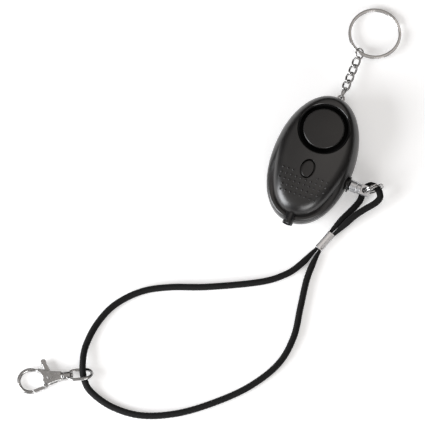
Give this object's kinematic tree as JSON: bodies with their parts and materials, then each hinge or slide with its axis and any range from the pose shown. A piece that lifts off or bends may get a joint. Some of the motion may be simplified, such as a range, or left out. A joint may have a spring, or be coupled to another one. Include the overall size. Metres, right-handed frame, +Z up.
{
  "type": "personal safety alarm",
  "caption": "Egg-shaped pocket alarm with siren, lamp button and pull pin, on a curb chain with split key ring, and a cord wrist strap with a swivel trigger snap.",
  "frame": {"origin": "centre of the flat back of the case, on the table", "axes": "+Y along the case towards the siren and the key chain, +X towards the pull pin, +Z up through the face"},
  "size_m": [0.1435, 0.2634, 0.0204],
  "materials": {
    "shell_plastic": "fine satin black",
    "black_plastic": "gloss black",
    "chrome": "polished plating",
    "ferrule": "drawn, crimped",
    "cord": "woven round cord",
    "lamp": "clear dome",
    "board": "varnished",
    "coil": "wound ferrite",
    "brass": "bright",
    "steel": "plain",
    "rubber_seal": "matt"
  },
  "bodies": {
    "case": {"front_shell": "shell_plastic", "rear_shell": "shell_plastic", "siren_housing": "black_plastic", "siren_cap": "shell_plastic", "sounder_seal": "rubber_seal", "siren_sounder": "brass", "circuit_board": "board", "booster_coil": "coil", "tact_switch": "steel", "battery_cells": "steel", "battery_contacts": "brass", "pin_contacts": "brass", "led_lamp": "lamp", "led_bezel": "black_plastic", "pin_socket": "black_plastic", "case_screws": "steel", "chain_anchor": "chrome"},
    "button": {"light_button": "shell_plastic"},
    "pin": {"pull_pin": "chrome"},
    "strap": {"pin_ring": "chrome", "pin_loop_cord": "cord", "wrist_loop_cord": "cord", "cord_ferrule": "ferrule"},
    "clasp_eye": {"swivel_eye": "chrome"},
    "clasp_hook": {"hook_body": "chrome", "trigger_rivet": "chrome", "trigger_spring": "steel"},
    "trigger": {"trigger_lever": "chrome"},
    "link_1": {"chain_link_1": "chrome"},
    "link_2": {"chain_link_2": "chrome"},
    "link_3": {"chain_link_3": "chrome"},
    "link_4": {"chain_link_4": "chrome"},
    "link_5": {"chain_link_5": "chrome"},
    "connector": {"connector_ring": "chrome"},
    "key_ring": {"key_ring": "chrome"}
  },
  "joints": [
    {"name": "button_press", "type": "slide", "parent": "case", "child": "button", "axis": [0, 0, -1], "range_m": [0, 0.0005], "stiffness_N_per_m": 1500, "springref_m": -0.0006},
    {"name": "pin_pull", "type": "slide", "parent": "case", "child": "pin", "axis": [1, 0, 0], "range_m": [0, 0.022]},
    {"name": "strap_swing", "type": "hinge", "parent": "pin", "child": "strap", "pos_m": [0.0316, -0.006, 0.0095], "axis": [0, 0, 1], "range_deg": [-12, 70]},
    {"name": "clasp_lift", "type": "hinge", "parent": "strap", "child": "clasp_eye", "pos_m": [-0.07013, -0.15121, 0.0043], "axis": [-0.4384, 0.8988, 0], "range_deg": [-60, 75]},
    {"name": "hook_swivel", "type": "hinge", "parent": "clasp_eye", "child": "clasp_hook", "pos_m": [-0.07784, -0.15497, 0.00364], "axis": [-0.8961, -0.4371, -0.0767], "continuous": true},
    {"name": "trigger_turn", "type": "hinge", "parent": "clasp_hook", "child": "trigger", "pos_m": [-0.0859, -0.1589, 0.00295], "axis": [-0.069, -0.0336, 0.9971], "range_deg": [-25, 0], "stiffness_Nm_per_rad": 0.02, "springref_deg": 20.05},
    {"name": "chain_1_swing", "type": "hinge", "parent": "case", "child": "link_1", "pos_m": [0.0012, 0.0389, 0.0056], "axis": [1, 0, 0], "range_deg": [-60, 70]},
    {"name": "chain_2_swing", "type": "hinge", "parent": "link_1", "child": "link_2", "pos_m": [0.0012, 0.04363, 0.00517], "axis": [0.7071, 0.0641, 0.7042], "range_deg": [-35, 35]},
    {"name": "chain_3_swing", "type": "hinge", "parent": "link_2", "child": "link_3", "pos_m": [0.0012, 0.04831, 0.00474], "axis": [0.7071, 0.0641, 0.7042], "range_deg": [-15, 15]},
    {"name": "chain_4_swing", "type": "hinge", "parent": "link_3", "child": "link_4", "pos_m": [0.0012, 0.05299, 0.00432], "axis": [0.7071, 0.0641, 0.7042], "range_deg": [-15, 15]},
    {"name": "chain_5_swing", "type": "hinge", "parent": "link_4", "child": "link_5", "pos_m": [0.0012, 0.05767, 0.00389], "axis": [0.7071, 0.0641, 0.7042], "range_deg": [-15, 15]},
    {"name": "connector_swing", "type": "hinge", "parent": "link_5", "child": "connector", "pos_m": [0.0012, 0.06235, 0.00347], "axis": [0.7071, 0.0641, 0.7042], "range_deg": [-30, 30]},
    {"name": "key_ring_swing", "type": "hinge", "parent": "connector", "child": "key_ring", "pos_m": [0.0012, 0.06509, 0.00322], "axis": [1, 0, 0], "range_deg": [-20, 20]}
  ]
}
